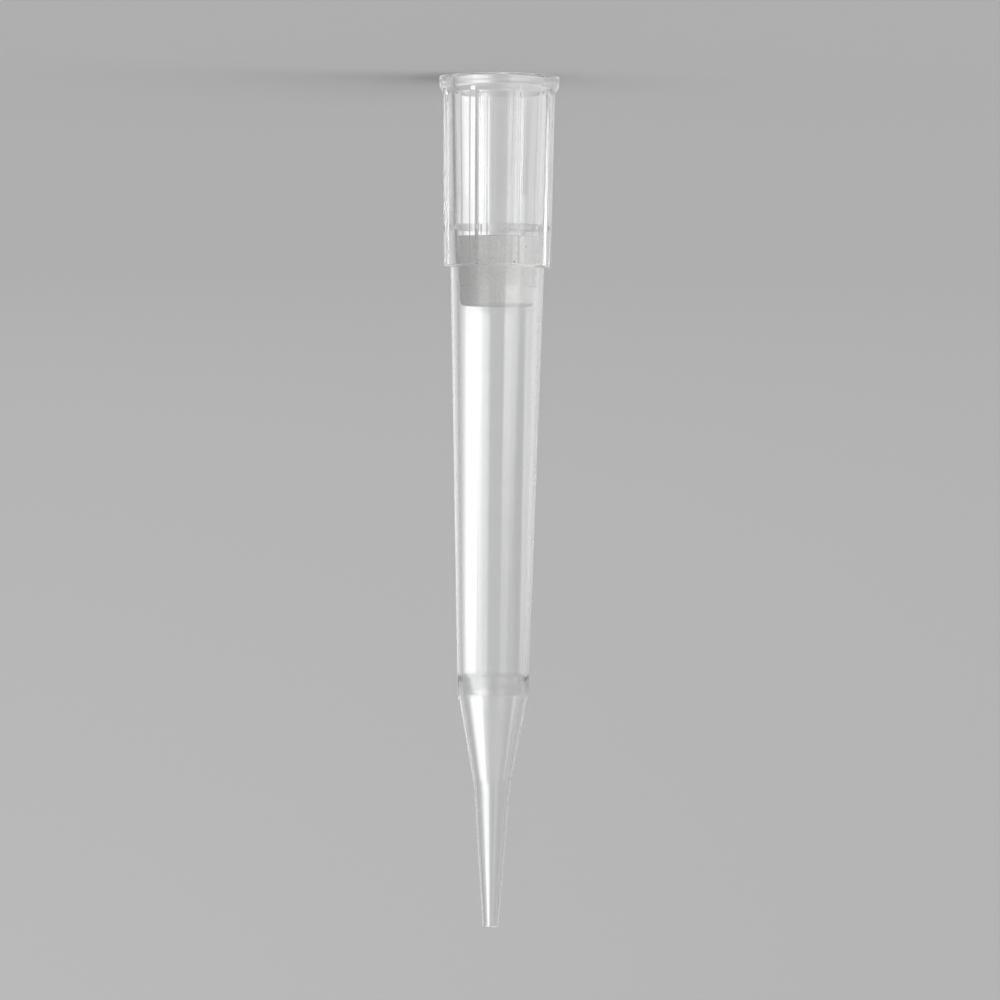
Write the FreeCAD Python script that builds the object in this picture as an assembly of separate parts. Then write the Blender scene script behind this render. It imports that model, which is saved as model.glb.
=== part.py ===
import FreeCAD, Part
import os
from math import sqrt, tan, acos, cos, sin, radians
from FreeCAD import Vector, Placement, Rotation

# Filter pipette tip, in millimetres. It stands on its rim with the nozzle up:
# the origin is the centre of the rim's flat end, and +Z runs along the axis
# from the rim to the nozzle. Every "z" below is a height above the rim.

# ---- flange and collar, outside ----
RIM_R = 4.20            # rim outer radius at the flat end
FLANGE_R = 4.165        # rim outer radius where the flange ends
FLANGE_H = 0.74         # height of the flange's upright face
CONE_Z = 1.22           # flange cone meets the sleeve
SLEEVE_R_RIM = 3.89     # sleeve radius at the flange cone
SLEEVE_R_STEP = 3.69    # sleeve radius at its far end
SLEEVE_Z = 13.30        # flat shoulder at the sleeve's end, the face a rack carries
RIM_EDGE = 0.08         # edge rounding of the rim
SHOULDER_EDGE = 0.04    # edge rounding of the shoulder

# ---- ribs on the sleeve ----
RIB_COUNT = 8
RIB_ANGLE = 26.7        # first rib, degrees from -Y towards +X
RIB_CREST = 0.38        # width of a rib's crest
RIB_FOOT = 0.72         # width of a rib where it meets the sleeve
RIB_R_RIM = 4.06        # rib crest radius at the rim end
RIB_R_STEP = 3.89       # rib crest radius at the shoulder
RIB_Z0 = 0.86           # rib starts inside the flange cone
RIB_EDGE = 0.10         # rounding along the crest's two edges

# ---- barrel, cone and nozzle, outside ----
BARREL_R_STEP = 3.268   # barrel radius just past the shoulder
BARREL_R_END = 2.475    # barrel radius at its far end
BARREL_Z = 43.20        # end of the barrel
BARREL_BEND = 0.90      # bending radius where the barrel turns into the cone
LEDGE_R = 2.440         # fine witness ledge of the mould, just past that bend
LEDGE_Z = 43.39
LEDGE_STEP = 0.008
CONE_R_END = 1.264      # cone meets the nozzle
CONE_END_Z = 49.60
NOZZLE_R = 0.550        # nozzle radius at the orifice
LENGTH = 59.50          # overall length
NOZZLE_EDGE = 0.06

# ---- bore ----
MOUTH_R = 3.35          # mouth of the socket at the rim
MOUTH_EDGE = 0.25       # rounding of the mouth's edge
LEAD_R = 3.158          # end of the flared lead-in, start of the guiding taper
LEAD_Z = 0.60
LEAD_BEND = 1.2         # bending radius between the two
SOCKET_TAPER_Z = 8.40   # end of the guiding taper, start of the sealing land
LAND_R = 2.96           # sealing land, straight
LAND_Z = 10.42          # end of the sealing land, where a soft ledge starts
SEAT_R = 2.866          # foot of that ledge, where the filter's seat starts narrowing
SEAT_Z = 10.82
LEDGE_BEND = 0.60       # bending radius at both ends of the ledge
RING_Z = 12.25          # fine ring left by the core pin inside the seat
RING_STEP = 0.008
FILTER_GRIP_R = 2.670   # far end of the stretch that grips the filter
FILTER_GRIP_Z = 14.70
BORE_R_END = 2.214      # barrel bore at its far end
BORE_Z = 41.90
BORE_FOOT_R = 2.12      # foot of the short steeper stretch that leads into the inner cone
BORE_FOOT_Z = 42.30
BORE_BEND = 0.80        # bending radius at both its ends
NECK_R = 1.003          # inner cone meets the nozzle bore
NECK_Z = 49.60
NECK_BEND = 6.0         # bending radius there, inside and outside
ORIFICE_R = 0.375

# ---- filter plug ----
PLUG_Z0 = 11.19         # face towards the socket
PLUG_Z1 = 16.06         # face towards the liquid
PLUG_R_END = 2.585      # free end of the plug, clear of the barrel bore
PLUG_GAP = 0.035        # clearance at the plug's first edge
PLUG_EDGE = 0.10        # rounding of the face towards the socket
PLUG_END_EDGE = 0.28    # rounding of the face towards the liquid


def rounded_wire(points, place):
    """Closed wire through (a, b, corner radius) corners; place(a, b) gives the point in space."""
    n = len(points)
    ends = []
    for i in range(n):
        p = Vector(points[i][0], points[i][1], 0)
        rad = points[i][2]
        a = Vector(points[i - 1][0], points[i - 1][1], 0)
        b = Vector(points[(i + 1) % n][0], points[(i + 1) % n][1], 0)
        if rad <= 0:
            ends.append((p, None, p))
            continue
        u = (a - p).normalize()
        v = (b - p).normalize()
        half = acos(max(-1.0, min(1.0, u.dot(v)))) / 2.0
        t = rad / tan(half)
        m = (u + v).normalize()
        centre = p + m * (rad / sin(half))
        ends.append((p + u * t, centre - m * rad, p + v * t))
    edges = []
    for i in range(n):
        p_in, mid, p_out = ends[i]
        if mid is not None:
            edges.append(Part.Arc(place(p_in.x, p_in.y), place(mid.x, mid.y), place(p_out.x, p_out.y)).toShape())
        nxt = ends[(i + 1) % n][0]
        if (nxt - p_out).Length > 1e-6:
            edges.append(Part.LineSegment(place(p_out.x, p_out.y), place(nxt.x, nxt.y)).toShape())
    return Part.Wire(edges)


def turned(points):
    face = Part.Face(rounded_wire(points, lambda r, z: Vector(r, 0, z)))
    return face.revolve(Vector(0, 0, 0), Vector(0, 0, 1), 360)


def seat_radius(z):
    """Filter seat wall radius between the seat's start and the grip's end."""
    return SEAT_R + (FILTER_GRIP_R - SEAT_R) * (z - SEAT_Z) / (FILTER_GRIP_Z - SEAT_Z)


def body_shell():
    ring_r = seat_radius(RING_Z)
    return turned([
        # outside, from the rim to the nozzle
        (RIM_R, 0.0, RIM_EDGE),
        (FLANGE_R, FLANGE_H, 0.10),
        (SLEEVE_R_RIM, CONE_Z, 0.20),
        (SLEEVE_R_STEP, SLEEVE_Z, SHOULDER_EDGE),
        (BARREL_R_STEP, SLEEVE_Z, 0.05),
        (BARREL_R_END, BARREL_Z, BARREL_BEND),
        (LEDGE_R, LEDGE_Z, 0.0),
        (LEDGE_R - LEDGE_STEP, LEDGE_Z + 0.02, 0.0),
        (CONE_R_END, CONE_END_Z, NECK_BEND),
        (NOZZLE_R, LENGTH, NOZZLE_EDGE),
        # inside, back to the rim
        (ORIFICE_R, LENGTH, 0.04),
        (NECK_R, NECK_Z, NECK_BEND),
        (BORE_FOOT_R, BORE_FOOT_Z, BORE_BEND),
        (BORE_R_END, BORE_Z, BORE_BEND),
        (FILTER_GRIP_R + RING_STEP, FILTER_GRIP_Z + 0.02, 0.0),
        (FILTER_GRIP_R, FILTER_GRIP_Z, 0.0),
        (ring_r - RING_STEP, RING_Z + 0.02, 0.0),
        (ring_r, RING_Z, 0.0),
        (SEAT_R, SEAT_Z, LEDGE_BEND),
        (LAND_R, LAND_Z, LEDGE_BEND),
        (LAND_R, SOCKET_TAPER_Z, 0.0),
        (LEAD_R, LEAD_Z, LEAD_BEND),
        (MOUTH_R, 0.0, MOUTH_EDGE),
    ])


def rib(angle):
    """One rib: a bar with sloping flanks and rounded crest edges, leaning in with the sleeve's draft."""
    slope = (RIB_R_RIM - RIB_R_STEP) / (SLEEVE_Z - CONE_Z)
    rise = CONE_Z - RIB_Z0
    crest = RIB_R_RIM + slope * rise
    sleeve = SLEEVE_R_RIM + slope * rise
    hc, hf = RIB_CREST / 2.0, RIB_FOOT / 2.0
    # the flanks run on into the wall, so the bar joins it all along
    sink = 0.12
    hb = hf + sink * (hf - hc) / (crest - sleeve)
    wire = rounded_wire([
        (sleeve - sink, -hb, 0.0), (crest, -hc, RIB_EDGE), (crest, hc, RIB_EDGE), (sleeve - sink, hb, 0.0),
    ], lambda a, b: Vector(a, b, RIB_Z0))
    run = SLEEVE_Z - RIB_Z0
    bar = Part.Face(wire).extrude(Vector(-slope * run, 0, run))
    # 0 degrees faces -Y, positive towards +X
    bar.Placement = Placement(Vector(0, 0, 0), Rotation(Vector(0, 0, 1), angle - 90.0))
    return bar


def tip_body():
    shape = body_shell()
    ribs = [rib(RIB_ANGLE + 360.0 * i / RIB_COUNT) for i in range(RIB_COUNT)]
    shape = shape.fuse(ribs)
    return shape


def filter_plug():
    g0 = RING_Z + 0.02
    grip0 = seat_radius(RING_Z) - RING_STEP
    top_r = seat_radius(PLUG_Z0) - RING_STEP - PLUG_GAP
    return turned([
        (0.0, PLUG_Z0, 0.0),
        (top_r, PLUG_Z0, PLUG_EDGE),
        (grip0, g0, 0.0),
        (FILTER_GRIP_R, FILTER_GRIP_Z, 0.0),
        (PLUG_R_END, PLUG_Z1, PLUG_END_EDGE),
        (0.0, PLUG_Z1, 0.0),
    ])


def single_solid(shape):
    if shape.ShapeType != "Solid":
        solids = shape.Solids
        assert len(solids) == 1, len(solids)
        shape = solids[0]
    if shape.Volume < 0:
        shape = shape.reversed()
    assert shape.isValid()
    return shape


os.makedirs("parts", exist_ok=True)
NODES = {"tip_body": tip_body, "filter_plug": filter_plug}
for name, make in NODES.items():
    solid = single_solid(make())
    solid.exportStep("parts/%s.step" % name)
    box = solid.BoundBox
    print("%-12s volume %.2f mm3  x %.3f..%.3f  y %.3f..%.3f  z %.3f..%.3f" % (
        name, solid.Volume, box.XMin, box.XMax, box.YMin, box.YMax, box.ZMin, box.ZMax))
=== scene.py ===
import bpy
from math import sqrt, tan, acos, cos, sin, radians, degrees, pi, atan2, asin, floor, hypot
from mathutils import Vector, Matrix, noise


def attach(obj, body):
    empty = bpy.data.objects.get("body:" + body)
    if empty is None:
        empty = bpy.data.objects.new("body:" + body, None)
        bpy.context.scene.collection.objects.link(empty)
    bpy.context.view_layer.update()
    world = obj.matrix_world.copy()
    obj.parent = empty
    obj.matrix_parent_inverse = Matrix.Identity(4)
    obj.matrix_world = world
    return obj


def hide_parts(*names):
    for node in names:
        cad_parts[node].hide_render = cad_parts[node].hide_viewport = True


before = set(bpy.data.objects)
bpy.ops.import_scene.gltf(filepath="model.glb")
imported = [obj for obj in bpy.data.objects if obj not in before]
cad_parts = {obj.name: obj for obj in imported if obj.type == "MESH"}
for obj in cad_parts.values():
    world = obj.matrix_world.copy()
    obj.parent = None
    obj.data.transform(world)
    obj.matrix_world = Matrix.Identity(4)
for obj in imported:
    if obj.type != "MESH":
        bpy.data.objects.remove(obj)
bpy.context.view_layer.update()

MM = 0.001

# ------------------------------------------------------------------ dimensions, mm
RIM_R, FLANGE_R, FLANGE_H, CONE_Z = 4.20, 4.165, 0.74, 1.22
SLEEVE_R_RIM, SLEEVE_R_STEP, SLEEVE_Z = 3.89, 3.69, 13.30
RIM_EDGE, SHOULDER_EDGE = 0.08, 0.04
RIB_COUNT, RIB_ANGLE, RIB_CREST, RIB_FOOT = 8, 26.7, 0.38, 0.72
RIB_R_RIM, RIB_R_STEP, RIB_Z0, RIB_EDGE = 4.06, 3.89, 0.86, 0.10
BARREL_R_STEP, BARREL_R_END, BARREL_Z = 3.268, 2.475, 43.20
LEDGE_R, LEDGE_Z, LEDGE_STEP = 2.440, 43.39, 0.008
CONE_R_END, CONE_END_Z = 1.264, 49.60
NOZZLE_R, LENGTH, NOZZLE_EDGE = 0.550, 59.50, 0.06
MOUTH_R, MOUTH_EDGE, SOCKET_TAPER_Z = 3.35, 0.25, 8.40
LEAD_R, LEAD_Z, LEAD_BEND = 3.158, 0.60, 1.2
LAND_R, LAND_Z, LEDGE_BEND, SEAT_R, SEAT_Z = 2.96, 10.42, 0.60, 2.866, 10.82
RING_Z, RING_STEP = 12.25, 0.008
FILTER_GRIP_R, FILTER_GRIP_Z = 2.670, 14.70
BORE_R_END, BORE_Z = 2.214, 41.90
BORE_FOOT_R, BORE_FOOT_Z, BORE_BEND = 2.12, 42.30, 0.80
NECK_R, NECK_Z, ORIFICE_R = 1.003, 49.60, 0.375
PLUG_Z0, PLUG_Z1, PLUG_R_END, PLUG_GAP, PLUG_EDGE, PLUG_END_EDGE = 11.19, 16.06, 2.585, 0.035, 0.10, 0.28


def seat_radius(z):
    return SEAT_R + (FILTER_GRIP_R - SEAT_R) * (z - SEAT_Z) / (FILTER_GRIP_Z - SEAT_Z)


def rounded(points, closed=True, steps=5, guard=0.03):
    """(r, z, corner radius) corners to a list of (r, z): arcs at the corners, with a row just before and after each."""
    n = len(points)
    out = []
    for i in range(n):
        r, z, rad = points[i]
        if not closed and i in (0, n - 1):
            out.append((r, z))
            continue
        p = Vector((r, z))
        a = Vector(points[i - 1][:2])
        b = Vector(points[(i + 1) % n][:2])
        la, lb = (a - p).length, (b - p).length
        u, v = (a - p) / la, (b - p) / lb
        half = acos(max(-1.0, min(1.0, u.dot(v)))) / 2
        t = rad / tan(half) if rad > 0 else 0.0
        g = min(guard, 0.25 * la, 0.25 * lb)
        if t + g < 0.49 * la:
            q = p + u * (t + g)
            out.append((q.x, q.y))
        if rad > 0:
            m = (u + v).normalized()
            c = p + m * (rad / sin(half))
            s, e = p + u * t - c, p + v * t - c
            k = steps
            a0, a1 = atan2(s.y, s.x), atan2(e.y, e.x)
            d = (a1 - a0 + pi) % (2 * pi) - pi
            for j in range(k + 1):
                w = a0 + d * j / k
                out.append((c.x + rad * cos(w), c.y + rad * sin(w)))
        else:
            out.append((p.x, p.y))
        if t + g < 0.49 * lb:
            q = p + v * (t + g)
            out.append((q.x, q.y))
    return out


OUTSIDE = [
    (RIM_R, 0.0, RIM_EDGE),
    (FLANGE_R, FLANGE_H, 0.10),
    (SLEEVE_R_RIM, CONE_Z, 0.20),
    (SLEEVE_R_STEP, SLEEVE_Z, SHOULDER_EDGE),
    (BARREL_R_STEP, SLEEVE_Z, 0.05),
    (BARREL_R_END, BARREL_Z, 0.9),
    (LEDGE_R, LEDGE_Z, 0.0),
    (LEDGE_R - LEDGE_STEP, LEDGE_Z + 0.02, 0.0),
    (CONE_R_END, CONE_END_Z, 6.0),
    (NOZZLE_R, LENGTH, NOZZLE_EDGE),
]
INSIDE = [
    (ORIFICE_R, LENGTH, 0.04),
    (NECK_R, NECK_Z, 6.0),
    (BORE_FOOT_R, BORE_FOOT_Z, BORE_BEND),
    (BORE_R_END, BORE_Z, BORE_BEND),
    (FILTER_GRIP_R + RING_STEP, FILTER_GRIP_Z + 0.02, 0.0),
    (FILTER_GRIP_R, FILTER_GRIP_Z, 0.0),
    (seat_radius(RING_Z) - RING_STEP, RING_Z + 0.02, 0.0),
    (seat_radius(RING_Z), RING_Z, 0.0),
    (SEAT_R, SEAT_Z, LEDGE_BEND),
    (LAND_R, LAND_Z, LEDGE_BEND),
    (LAND_R, SOCKET_TAPER_Z, 0.0),
    (LEAD_R, LEAD_Z, LEAD_BEND),
    (MOUTH_R, 0.0, MOUTH_EDGE),
]


def rib_half(sleeve, crest):
    """Half of a rib's outline at one height, (radial, across) from the sleeve to the middle of the crest."""
    hc, hf = RIB_CREST / 2, RIB_FOOT / 2
    foot = Vector((sqrt(sleeve * sleeve - hf * hf), hf))
    top = Vector((crest, hc))
    side = (top - foot).normalized()
    out = []

    def corner(p, a, b, rad, steps, guard):
        u, v = (a - p).normalized(), (b - p).normalized()
        half = acos(max(-1.0, min(1.0, u.dot(v)))) / 2
        t = rad / tan(half)
        c = p + (u + v).normalized() * (rad / sin(half))
        s, e = p + u * t - c, p + v * t - c
        out.append(p + u * (t + guard))
        a0, a1 = atan2(s.y, s.x), atan2(e.y, e.x)
        d = (a1 - a0 + pi) % (2 * pi) - pi
        for j in range(steps + 1):
            w = a0 + d * j / steps
            out.append(Vector((c.x + rad * cos(w), c.y + rad * sin(w))))
        out.append(p + v * (t + guard))

    wide = Vector((sqrt(sleeve * sleeve - (hf + 0.1) ** 2), hf + 0.1))
    corner(foot, wide, top, 0.16, 5, 0.01)
    corner(top, foot, Vector((crest, 0.0)), RIB_EDGE, 6, 0.01)
    return out


def rib_row(r, z, ribs):
    """One ring of points around the axis at height z: (x, y) in the object's frame, ribs standing out of radius r."""
    pts = []
    slope = (RIB_R_RIM - RIB_R_STEP) / (SLEEVE_Z - CONE_Z)
    lean = (SLEEVE_R_RIM - SLEEVE_R_STEP) / (SLEEVE_Z - CONE_Z)
    if ribs:
        crest = RIB_R_RIM - slope * (z - CONE_Z)
        sleeve = SLEEVE_R_RIM - lean * (z - CONE_Z)
    else:
        crest, sleeve = 3.97, 3.78
    half = [(q.x, q.y) for q in rib_half(sleeve, crest)]
    outline = [(x, -y) for x, y in half] + [(crest, 0.0)] + [(x, y) for x, y in reversed(half)]
    gap = 2 * pi / RIB_COUNT
    edge = atan2(half[0][1], half[0][0])
    for i in range(RIB_COUNT):
        centre = radians(RIB_ANGLE - 90.0) + gap * i
        for x, y in outline:
            a, d = atan2(y, x), hypot(x, y)
            pts.append((centre + a, max(d, r) if ribs else r))
        n = 24
        for j in range(1, n):
            a = edge + (gap - 2 * edge) * j / n
            pts.append((centre + a, r))
    return [(d * cos(a) * MM, d * sin(a) * MM, z * MM) for a, d in pts]


def lathe_rows(rows, name, close):
    """Quads between rings of equal length; close joins the last ring to the first, otherwise the ends get fans."""
    n = len(rows[0])
    verts = [p for row in rows for p in row]
    faces = []
    count = len(rows)
    for i in range(count if close else count - 1):
        a, b = i * n, ((i + 1) % count) * n
        for j in range(n):
            k = (j + 1) % n
            faces.append((a + j, a + k, b + k, b + j))
    if not close:
        for i, flip in ((0, True), (count - 1, False)):
            c = len(verts)
            z = rows[i][0][2]
            verts.append((0.0, 0.0, z))
            for j in range(n):
                k = (j + 1) % n
                t = (i * n + j, i * n + k, c)
                faces.append(tuple(reversed(t)) if flip else t)
    me = bpy.data.meshes.new(name)
    me.from_pydata(verts, [], faces)
    me.update()
    return me


def solid_object(me, name, sharp):
    import bmesh
    bm = bmesh.new()
    bm.from_mesh(me)
    bmesh.ops.remove_doubles(bm, verts=bm.verts, dist=1e-8)
    bmesh.ops.recalc_face_normals(bm, faces=bm.faces)
    bm.to_mesh(me)
    bm.free()
    me.shade_smooth()
    me.set_sharp_from_angle(angle=radians(sharp))
    ob = bpy.data.objects.new(name, me)
    bpy.context.scene.collection.objects.link(ob)
    return ob


def tip_mesh():
    ring = rounded(INSIDE + OUTSIDE, closed=True)
    line = []
    for i, (r, z) in enumerate(ring):
        r2, z2 = ring[(i + 1) % len(ring)]
        line.append((r, z))
        # more rows where the ribs rise out of the flange's cone, and along every long stretch
        if FLANGE_H < z < CONE_Z and FLANGE_H < z2 < CONE_Z and r > 3.8 and z2 - z > 0.1:
            m = 16
        else:
            m = 6 if abs(z2 - z) > 2 else 1
        for j in range(1, m):
            f = j / m
            line.append((r + (r2 - r) * f, z + (z2 - z) * f))
    rows = []
    for r, z in line:
        outer = r > 3.5 and RIB_Z0 < z <= SLEEVE_Z + 1e-6
        rows.append(rib_row(r, z, outer))
        if outer and abs(z - SLEEVE_Z) < 1e-6 and abs(r - (SLEEVE_R_STEP - SHOULDER_EDGE)) < 0.01:
            rows.append(rib_row(r - 0.02, z, False))
    return lathe_rows(rows, "tip_shell", True)


tip = solid_object(tip_mesh(), "tip_shell", 28)
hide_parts("tip_body")
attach(tip, "root")


# ------------------------------------------------------------------ filter plug
def plug_mesh():
    top_r = seat_radius(PLUG_Z0) - RING_STEP - PLUG_GAP
    corners = [
        (0.02, PLUG_Z0, 0.0),
        (top_r, PLUG_Z0, PLUG_EDGE),
        (seat_radius(RING_Z) - RING_STEP, RING_Z + 0.02, 0.0),
        (FILTER_GRIP_R, FILTER_GRIP_Z, 0.0),
        (PLUG_R_END, PLUG_Z1, PLUG_END_EDGE),
        (0.02, PLUG_Z1, 0.0),
    ]
    line = rounded(corners, closed=False, steps=4, guard=0.02)
    pts = []
    step = 0.055
    for (r, z), (r2, z2) in zip(line[:-1], line[1:]):
        d = hypot(r2 - r, z2 - z)
        m = max(1, int(d / step))
        for j in range(m):
            f = j / m
            pts.append((r + (r2 - r) * f, z + (z2 - z) * f))
    pts.append(line[-1])
    n = 300
    rows = []
    for i, (r, z) in enumerate(pts):
        r0, z0 = pts[max(i - 1, 0)]
        r1, z1 = pts[min(i + 1, len(pts) - 1)]
        tx, tz = r1 - r0, z1 - z0
        L = hypot(tx, tz) or 1
        nr, nz = tz / L, -tx / L
        if r < 0.1:
            nr, nz = 0, (-1 if z < 13 else 1)
        row = []
        for j in range(n):
            a = 2 * pi * j / n
            x, y = r * cos(a), r * sin(a)
            p = Vector((x, y, z))
            g = noise.voronoi(p * 5.2)[0]
            grain = min(g[0] * 1.6, 1.0)
            fine = 0.5 + 0.5 * noise.noise(p * 13.0)
            depth = 0.004 + 0.045 * grain ** 1.5 + 0.012 * fine
            k = min(1.0, r / 0.3)
            row.append(((x - nr * depth * cos(a)) * MM, (y - nr * depth * sin(a)) * MM, (z - nz * depth * k) * MM))
        rows.append(row)
    return lathe_rows(rows, "plug_grains", False)


plug = solid_object(plug_mesh(), "plug_grains", 60)
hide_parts("filter_plug")
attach(plug, "root")


# ------------------------------------------------------------------ materials
class Nodes:
    """A material's node tree with short ways to add the nodes used here; lengths in it are in mm."""

    def __init__(self, name):
        self.material = bpy.data.materials.new(name)
        self.material.use_nodes = True
        self.tree = self.material.node_tree
        self.tree.nodes.clear()
        self.out = self.new("ShaderNodeOutputMaterial")
        co = self.new("ShaderNodeTexCoord")
        self.mm = self.vector("MULTIPLY", co.outputs["Object"], (1000.0, 1000.0, 1000.0))

    def new(self, kind):
        return self.tree.nodes.new(kind)

    def put(self, value, socket):
        if isinstance(value, (int, float, tuple)):
            socket.default_value = value
        else:
            self.tree.links.new(value, socket)

    def vector(self, op, a, b):
        n = self.new("ShaderNodeVectorMath")
        n.operation = op
        self.put(a, n.inputs[0])
        self.put(b, n.inputs[1])
        return n.outputs["Value" if op in ("DISTANCE", "LENGTH") else "Vector"]

    def math(self, op, a, b=None, c=None):
        n = self.new("ShaderNodeMath")
        n.operation = op
        for k, v in enumerate((a, b, c)):
            if v is not None:
                self.put(v, n.inputs[k])
        return n.outputs[0]

    def noise(self, scale, detail=2.0, stretch=None, rough=0.5):
        """Noise between about 0.25 and 0.75; scale is per mm."""
        n = self.new("ShaderNodeTexNoise")
        self.put(self.vector("MULTIPLY", self.mm, stretch) if stretch else self.mm, n.inputs["Vector"])
        n.inputs["Scale"].default_value = scale
        n.inputs["Detail"].default_value = detail
        n.inputs["Roughness"].default_value = rough
        return n.outputs[0]

    def grains(self, scale):
        n = self.new("ShaderNodeTexVoronoi")
        self.put(self.mm, n.inputs["Vector"])
        n.inputs["Scale"].default_value = scale
        return n.outputs["Distance"], n.outputs["Color"]

    def ramp(self, value, lo, hi, to_lo=0.0, to_hi=1.0):
        n = self.new("ShaderNodeMapRange")
        n.interpolation_type = "SMOOTHSTEP"
        for k, v in (("From Min", lo), ("From Max", hi), ("To Min", to_lo), ("To Max", to_hi)):
            n.inputs[k].default_value = v
        self.put(value, n.inputs["Value"])
        return n.outputs[0]

    def blend(self, factor, a, b):
        n = self.new("ShaderNodeMix")
        n.data_type = "RGBA"
        self.put(factor, n.inputs[0])
        self.put(a, n.inputs[6])
        self.put(b, n.inputs[7])
        return n.outputs[2]

    def bump(self, height, distance, normal=None):
        """distance in metres."""
        n = self.new("ShaderNodeBump")
        n.inputs["Strength"].default_value = 1.0
        n.inputs["Distance"].default_value = distance
        self.put(height, n.inputs["Height"])
        if normal is not None:
            self.put(normal, n.inputs["Normal"])
        return n.outputs[0]

    def mix_shader(self, factor, a, b):
        n = self.new("ShaderNodeMixShader")
        self.put(factor, n.inputs[0])
        self.put(a, n.inputs[1])
        self.put(b, n.inputs[2])
        return n.outputs[0]


# the larger specks of dust on the outside: x, y, z, radius in mm, darkness
DUST = [
    (-1.17, -3.72, 13.11, 0.085, 0.55), (-1.97, -3.14, 12.02, 0.075, 0.30),
    (-0.87, -3.70, 6.83, 0.055, 0.40), (1.53, -2.28, 33.65, 0.06, 0.50),
    (-0.20, -2.61, 38.17, 0.05, 0.45),
]


def polypropylene():
    m = Nodes("natural_polypropylene")
    clouds = m.noise(0.5, 3.0)
    flow = m.noise(1.3, 3.0, (1.0, 1.0, 0.10))
    fine = m.noise(7.0, 4.0, rough=0.6)
    sep = m.new("ShaderNodeSeparateXYZ")
    m.put(m.mm, sep.inputs[0])
    z = sep.outputs["Z"]

    # a polished mould leaves it glossy, a little duller in clouds and at the rim, where it is handled
    rough = m.math("MULTIPLY_ADD", clouds, 0.030, 0.022)
    rough = m.math("MULTIPLY_ADD", fine, 0.014, rough)
    rough = m.math("ADD", rough, m.ramp(z, 0.06, 0.30, 0.10, 0.0))
    # the shoulder's edge, where two halves of the mould met, is duller too
    off = m.math("ABSOLUTE", m.math("SUBTRACT", z, SLEEVE_Z))
    rough = m.math("ADD", rough, m.ramp(off, 0.04, 0.12, 0.30, 0.0))

    # flow lines along the axis and the faint orange peel of the moulded skin
    skin = m.bump(m.noise(3.2, 2.0), 0.12e-6)
    normal = m.bump(flow, 0.7e-6, skin)

    b = m.new("ShaderNodeBsdfPrincipled")
    b.inputs["Base Color"].default_value = (0.985, 0.99, 0.988, 1)
    m.put(rough, b.inputs["Roughness"])
    b.inputs["IOR"].default_value = 1.49
    b.inputs["Transmission Weight"].default_value = 1.0
    m.put(normal, b.inputs["Normal"])

    # the slight milky haze of the unfilled polymer
    haze = m.new("ShaderNodeBsdfTranslucent")
    haze.inputs["Color"].default_value = (0.9, 0.91, 0.9, 1)
    amount = m.math("MULTIPLY_ADD", clouds, 0.030, 0.006)
    amount = m.math("MULTIPLY_ADD", m.ramp(fine, 0.56, 0.72), 0.020, amount)
    # milkier where the wall is thick: in the flange, and where the bore closes in before the cone
    thick = m.math("MULTIPLY", m.ramp(z, 41.5, 42.0), m.ramp(z, 43.5, 43.1))
    thick = m.math("MAXIMUM", thick, m.ramp(z, 0.75, 0.35))
    amount = m.math("MULTIPLY_ADD", thick, 0.045, amount)
    body = m.mix_shader(amount, b.outputs[0], haze.outputs[0])

    # dust: the few larger specks, and finer ones sown thinly
    speck = None
    for x, y, h, size, dark in DUST:
        f = m.ramp(m.vector("DISTANCE", m.mm, (x, y, h)), size, size * 0.35, 0.0, dark)
        speck = f if speck is None else m.math("MAXIMUM", speck, f)
    far, colour = m.grains(1.15)
    pick = m.new("ShaderNodeSeparateXYZ")
    m.put(colour, pick.inputs[0])
    sown = m.math("MULTIPLY", m.ramp(far, 0.055, 0.020, 0.0, 0.30), m.ramp(pick.outputs[0], 0.84, 0.86))
    speck = m.math("MAXIMUM", speck, sown)
    dust = m.new("ShaderNodeBsdfDiffuse")
    dust.inputs["Color"].default_value = (0.16, 0.15, 0.14, 1)
    dust.inputs["Roughness"].default_value = 0.8
    m.put(m.mix_shader(speck, body, dust.outputs[0]), m.out.inputs["Surface"])
    return m.material


def porous():
    m = Nodes("sintered_polyethylene")
    far, colour = m.grains(6.5)
    clouds = m.noise(0.9, 3.0)
    fine = m.noise(16.0, 3.0)
    # painted shade: the white is greyed towards the borders of the grains, where the pores between them lie
    painted_pore_shade = m.ramp(far, 0.42, 0.72)
    white = m.blend(clouds, (0.83, 0.83, 0.82, 1), (0.90, 0.90, 0.89, 1))
    base = m.blend(m.math("MULTIPLY", painted_pore_shade, 0.20), white, (0.60, 0.60, 0.58, 1))
    # the odd darker grain
    pick = m.new("ShaderNodeSeparateXYZ")
    m.put(colour, pick.inputs[0])
    odd = m.math("MULTIPLY", m.ramp(pick.outputs[1], 0.90, 0.93), m.ramp(far, 0.40, 0.20))
    base = m.blend(m.math("MULTIPLY", odd, 0.35), base, (0.48, 0.47, 0.45, 1))
    b = m.new("ShaderNodeBsdfPrincipled")
    m.put(base, b.inputs["Base Color"])
    m.put(m.math("MULTIPLY_ADD", fine, 0.3, 0.45), b.inputs["Roughness"])
    b.inputs["Specular IOR Level"].default_value = 0.3
    m.put(m.bump(m.math("SUBTRACT", m.math("MULTIPLY", fine, 0.3), far), 1.2e-5), b.inputs["Normal"])
    m.put(b.outputs[0], m.out.inputs["Surface"])
    return m.material


tip.data.materials.clear(); tip.data.materials.append(polypropylene())
plug.data.materials.clear(); plug.data.materials.append(porous())


# ------------------------------------------------------------------ floor and backdrop
def plain(name, colour, rough=0.9):
    m = Nodes(name)
    b = m.new("ShaderNodeBsdfPrincipled")
    b.inputs["Base Color"].default_value = (*colour, 1)
    b.inputs["Roughness"].default_value = rough
    b.inputs["Specular IOR Level"].default_value = 0.1
    m.put(b.outputs[0], m.out.inputs["Surface"])
    return m.material


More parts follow.
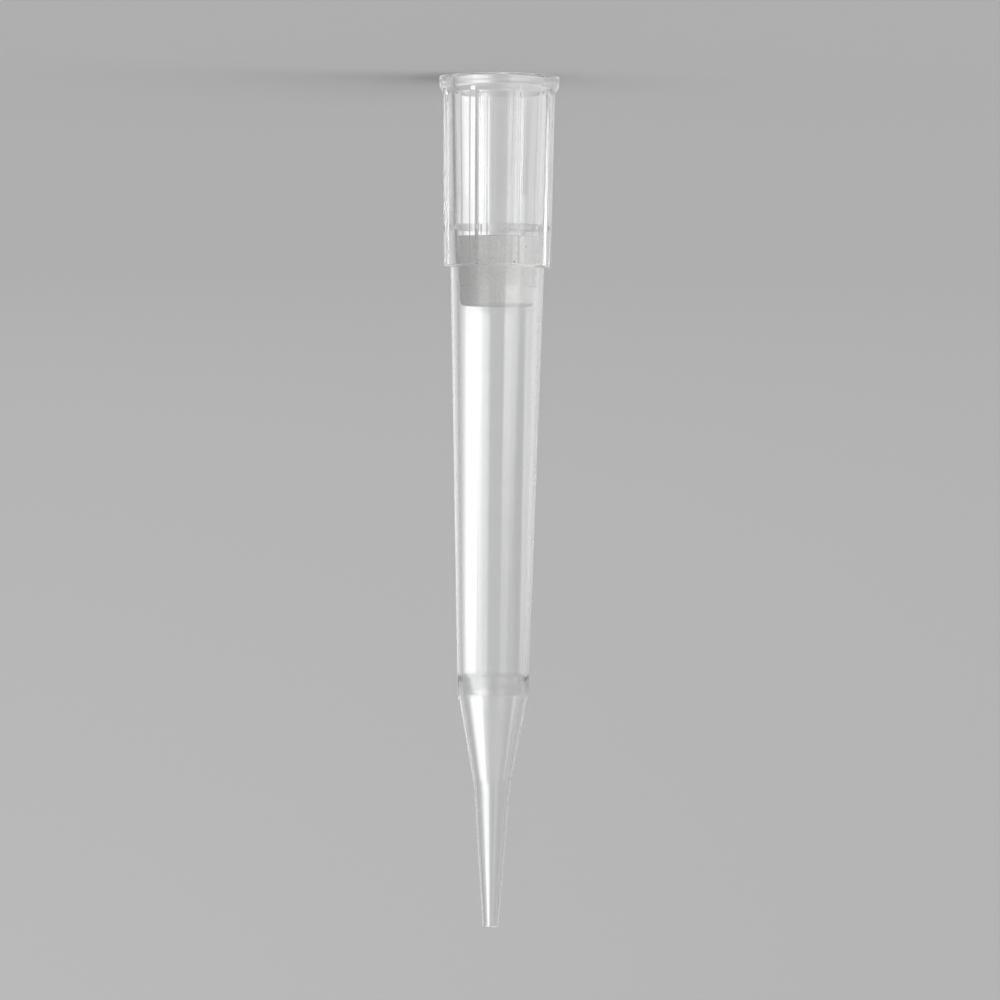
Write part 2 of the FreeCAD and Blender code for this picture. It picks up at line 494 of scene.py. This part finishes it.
def backdrop():
    """A round floor, and a wall curving up all round it; the wall is only seen, so it shades nothing."""
    r0, bend, top, n = 0.35, 0.35, 2.0, 96
    cove = [(r0 + bend * sin(pi / 2 * j / 24), bend - bend * cos(pi / 2 * j / 24)) for j in range(25)]
    for name, prof, seen_only in (("floor", [(0.0, 0.0), (0.1, 0.0), (r0, 0.0)], False), ("wall", cove + [(r0 + bend, top)], True)):
        verts, faces = [], []
        for r, z in prof:
            for j in range(n):
                a = 2 * pi * j / n
                verts.append((r * cos(a), r * sin(a), z))
        for i in range(len(prof) - 1):
            for j in range(n):
                k = (j + 1) % n
                faces.append((i * n + j, i * n + k, (i + 1) * n + k, (i + 1) * n + j))
        me = bpy.data.meshes.new(name)
        me.from_pydata(verts, [], faces)
        me.validate()
        me.shade_smooth()
        ob = bpy.data.objects.new(name, me)
        bpy.context.scene.collection.objects.link(ob)
        me.materials.append(plain("pale_" + name, (0.43, 0.43, 0.43)))
        # the plastic shows the studio around it, evenly lit, where the floor would cut it off at its foot
        ob.visible_transmission = False
        ob.visible_glossy = False
        if seen_only:
            ob.visible_diffuse = False
            ob.visible_shadow = False


backdrop()

# ------------------------------------------------------------------ studio light
# Soft panels around the object, as brightness against azimuth in degrees at three elevations. Azimuth 0 is the
# camera's side (-Y), positive towards the picture's right (-X), and 180 is behind. Elevation is positive towards
# the rim's end (-Z).
LOW = [(-180, .52), (-178.6, .64), (-177.4, .94), (-173, 1.05), (-171, .78), (-168, .56), (-158, .48), (-150, .50), (-143, .60), (-132, .48),
       (-122, .36), (-112, .30), (-94, .25), (-80, .25), (-65, .41), (-52, .50), (-50, .80), (-24, .80), (-22, .48), (0, .44),
       (22, .46), (40, .64), (60, .66), (98, .66), (116, .50), (135, .46), (168, .46), (175, .46), (180, .52)]
LEVEL = [(-180, .55), (-178.4, .58), (-177.2, .75), (-175.8, 1.25), (-168.5, 1.25), (-165.5, .92), (-158, .72),
         (-142, .60), (-131, .45), (-125, .38), (-98, .30), (-88, .28), (-74, .30), (-60, .46), (-52, .50), (-50, 1.7),
         (-24, 1.7), (-22, .50), (-5, .42), (14, .37), (20, .46), (22, 2.8), (58, 2.8), (62, .90), (80, .84), (102, 1.0),
         (118, .90), (130, .73), (147, .73), (157, .59), (166, .66), (169.3, .72), (171.2, .48), (174.2, .47), (176, .52),
         (177.8, .54), (180, .55)]
HIGH = [(-180, .60), (-178, .64), (-175.8, .84), (-175.0, 1.05), (-166, .90), (-158, .72), (-145, .54), (-130, .45),
        (-120, .38), (-100, .34), (-85, .32), (-70, .38), (-52, .50), (-50, 1.7), (-24, 1.7), (-22, .54), (0, .46), (18, .40),
        (22, 2.8), (68, 2.8), (72, .90), (100, .91), (120, .80), (132, .68), (148, .66), (168, .68), (176, .64), (180, .60)]
TOP = 4.0


def studio_world():
    w = bpy.data.worlds.new("studio")
    bpy.context.scene.world = w
    w.use_nodes = True
    nt = w.node_tree
    N, L = nt.nodes, nt.links
    N.clear()
    out = N.new("ShaderNodeOutputWorld")
    bg = N.new("ShaderNodeBackground")
    L.new(bg.outputs[0], out.inputs[0])
    co = N.new("ShaderNodeTexCoord")
    sep = N.new("ShaderNodeSeparateXYZ")
    L.new(co.outputs["Generated"], sep.inputs[0])

    def math(op, a, b=None, c=None, clamp=False):
        m = N.new("ShaderNodeMath")
        m.operation = op
        m.use_clamp = clamp
        for k, v in enumerate((a, b, c)):
            if v is None:
                continue
            if isinstance(v, (int, float)):
                m.inputs[k].default_value = v
            else:
                L.new(v, m.inputs[k])
        return m.outputs[0]

    x, y, z = sep.outputs
    az = math("ARCTAN2", math("MULTIPLY", x, -1.0), math("MULTIPLY", y, -1.0))
    u = math("MULTIPLY_ADD", az, 1 / (2 * pi), 0.5)
    el = math("MULTIPLY", math("ARCSINE", math("MULTIPLY", z, -1.0)), 180 / pi)

    def curve(points):
        c = N.new("ShaderNodeFloatCurve")
        cm = c.mapping.curves[0]
        pts = [((a + 180) / 360, v / TOP) for a, v in points]
        cm.points[0].location = pts[0]
        cm.points[1].location = pts[-1]
        for q in pts[1:-1]:
            cm.points.new(*q)
        for q in cm.points:
            q.handle_type = "VECTOR"
        c.mapping.update()
        L.new(u, c.inputs["Value"])
        return c.outputs[0]

    def blend(f, a, b):
        m = N.new("ShaderNodeMix")
        m.data_type = "FLOAT"
        for k, v in ((0, f), (2, a), (3, b)):
            if isinstance(v, (int, float)):
                m.inputs[k].default_value = v
            else:
                L.new(v, m.inputs[k])
        return m.outputs[0]

    def ramp(value, a, b):
        m = N.new("ShaderNodeMapRange")
        m.interpolation_type = "SMOOTHSTEP"
        m.inputs["From Min"].default_value = a
        m.inputs["From Max"].default_value = b
        L.new(value, m.inputs["Value"])
        return m.outputs[0]

    low, level, high = curve(LOW), curve(LEVEL), curve(HIGH)
    v = blend(ramp(el, -3.0, -0.6), low, level)
    v = blend(ramp(el, 1.0, 6.0), v, high)
    # plain overhead and underneath light
    v = blend(ramp(el, -15.0, -26.0), v, 0.50 / TOP)
    v = blend(ramp(el, 9.0, 19.0), v, math("MULTIPLY_ADD", math("SINE", az), 0.13 / TOP, 0.50 / TOP))
    # large soft panels above and below on the camera's side, the stronger pair on the right
    tall = math("ADD", ramp(el, -18.0, -32.0), ramp(el, 18.0, 32.0))
    right = math("MULTIPLY", ramp(az, -0.1, 0.4), ramp(az, 2.1, 1.6))
    left = math("MULTIPLY", ramp(az, 0.1, -0.4), ramp(az, -2.0, -1.5))
    both = math("ADD", math("MULTIPLY", right, 1.7 / TOP), math("MULTIPLY", left, 0.5 / TOP))
    v = math("ADD", v, math("MULTIPLY", both, tall))
    L.new(math("MULTIPLY", v, TOP), bg.inputs["Strength"])
    bg.inputs[0].default_value = (1, 1, 1, 1)
    return w


studio_world()


# ------------------------------------------------------------------ camera
FOCAL_PX = 5220.0
DIST = 0.0700 * FOCAL_PX * MM
cam = bpy.data.cameras.new("camera")
cam.sensor_width = 36.0
cam.lens = 36.0 * FOCAL_PX / 1000.0
cam.clip_start, cam.clip_end = 0.01, 20
co = bpy.data.objects.new("camera", cam)
bpy.context.scene.collection.objects.link(co)
lean = radians(0.607)
right = Vector((-cos(lean), 0, -sin(lean)))
up = Vector((sin(lean), 0, -cos(lean)))
back = Vector((0, -1, 0))
C = Vector((0, 0, 0.07 * (500 - 76.8) * MM)) + right * (0.07 * 5.0 * MM) + back * DIST
co.matrix_world = Matrix(((right.x, up.x, back.x, C.x), (right.y, up.y, back.y, C.y), (right.z, up.z, back.z, C.z), (0, 0, 0, 1)))
bpy.context.scene.camera = co

# light that is turned round many times inside the thick clear walls is followed to its end
bpy.context.scene.cycles.max_bounces = 44
bpy.context.scene.cycles.glossy_bounces = 32
bpy.context.scene.cycles.transmission_bounces = 36

bpy.context.scene.view_settings.view_transform = "Standard"
bpy.context.scene.view_settings.look = "None"
